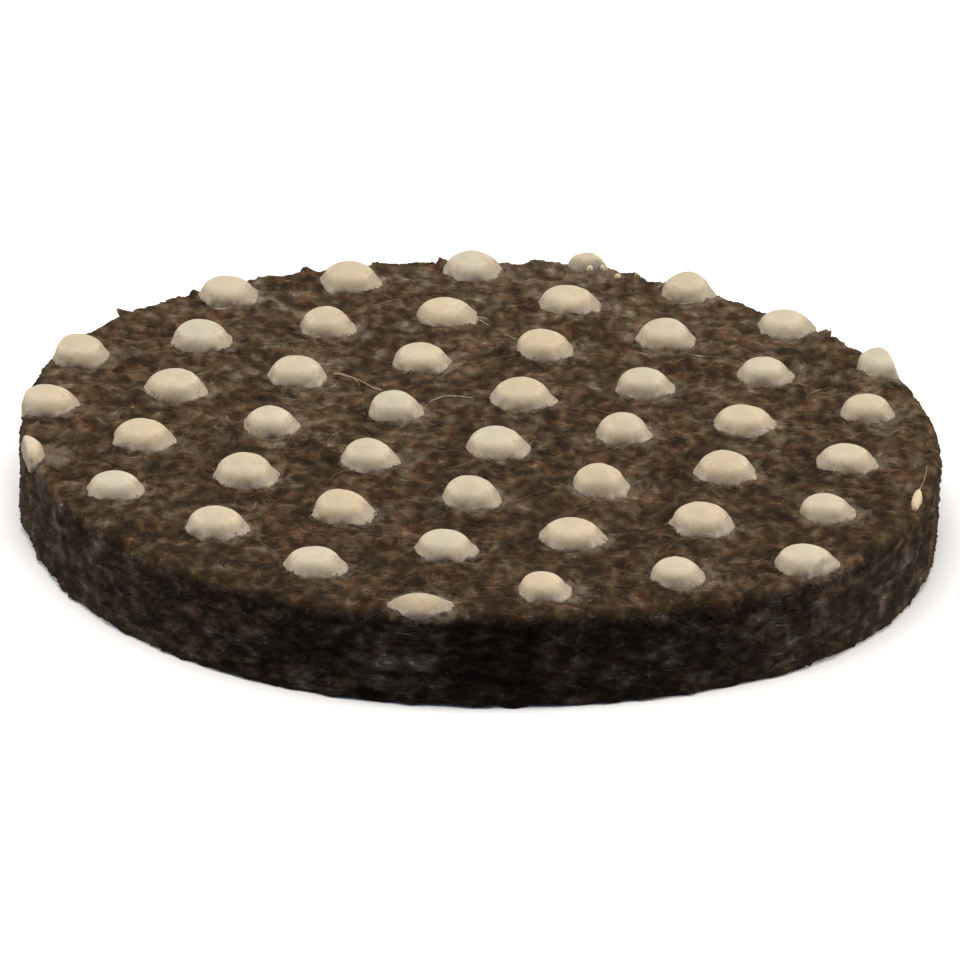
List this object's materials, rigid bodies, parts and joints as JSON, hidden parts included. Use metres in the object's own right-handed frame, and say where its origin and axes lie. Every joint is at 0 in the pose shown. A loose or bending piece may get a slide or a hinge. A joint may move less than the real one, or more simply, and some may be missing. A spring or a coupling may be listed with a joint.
{
  "type": "felt furniture pad",
  "caption": "Round felt furniture pad, flat underneath, with staggered latex gripping nubs across its upper face.",
  "frame": {"origin": "centre of the pad's flat underside", "axes": "+Z out of the nubbed face, square to the felt; X and Y lie in the felt, with +Y away from the picture's camera"},
  "size_m": [0.05, 0.05, 0.0063],
  "materials": {
    "felt": "coarse brown wool felt, matt",
    "latex": "cream natural latex, satin"
  },
  "bodies": {
    "root": {"felt_disc": "felt", "nub_2_5": "latex", "nub_2_6": "latex", "nub_2_7": "latex", "nub_2_8": "latex", "nub_3_4": "latex", "nub_3_5": "latex", "nub_3_6": "latex", "nub_3_7": "latex", "nub_3_8": "latex", "nub_4_3": "latex", "nub_4_4": "latex", "nub_4_5": "latex", "nub_4_6": "latex", "nub_4_7": "latex", "nub_4_8": "latex", "nub_5_2": "latex", "nub_5_3": "latex", "nub_5_4": "latex", "nub_5_5": "latex", "nub_5_6": "latex", "nub_5_7": "latex", "nub_5_8": "latex", "nub_6_1": "latex", "nub_6_2": "latex", "nub_6_3": "latex", "nub_6_4": "latex", "nub_6_5": "latex", "nub_6_6": "latex", "nub_6_7": "latex", "nub_6_8": "latex", "nub_7_1": "latex", "nub_7_2": "latex", "nub_7_3": "latex", "nub_7_4": "latex", "nub_7_5": "latex", "nub_7_6": "latex", "nub_7_7": "latex", "nub_8_1": "latex", "nub_8_2": "latex", "nub_8_3": "latex", "nub_8_4": "latex", "nub_8_5": "latex", "nub_8_6": "latex", "nub_9_2": "latex", "nub_9_3": "latex", "nub_9_4": "latex", "nub_9_5": "latex"}
  },
  "joints": []
}
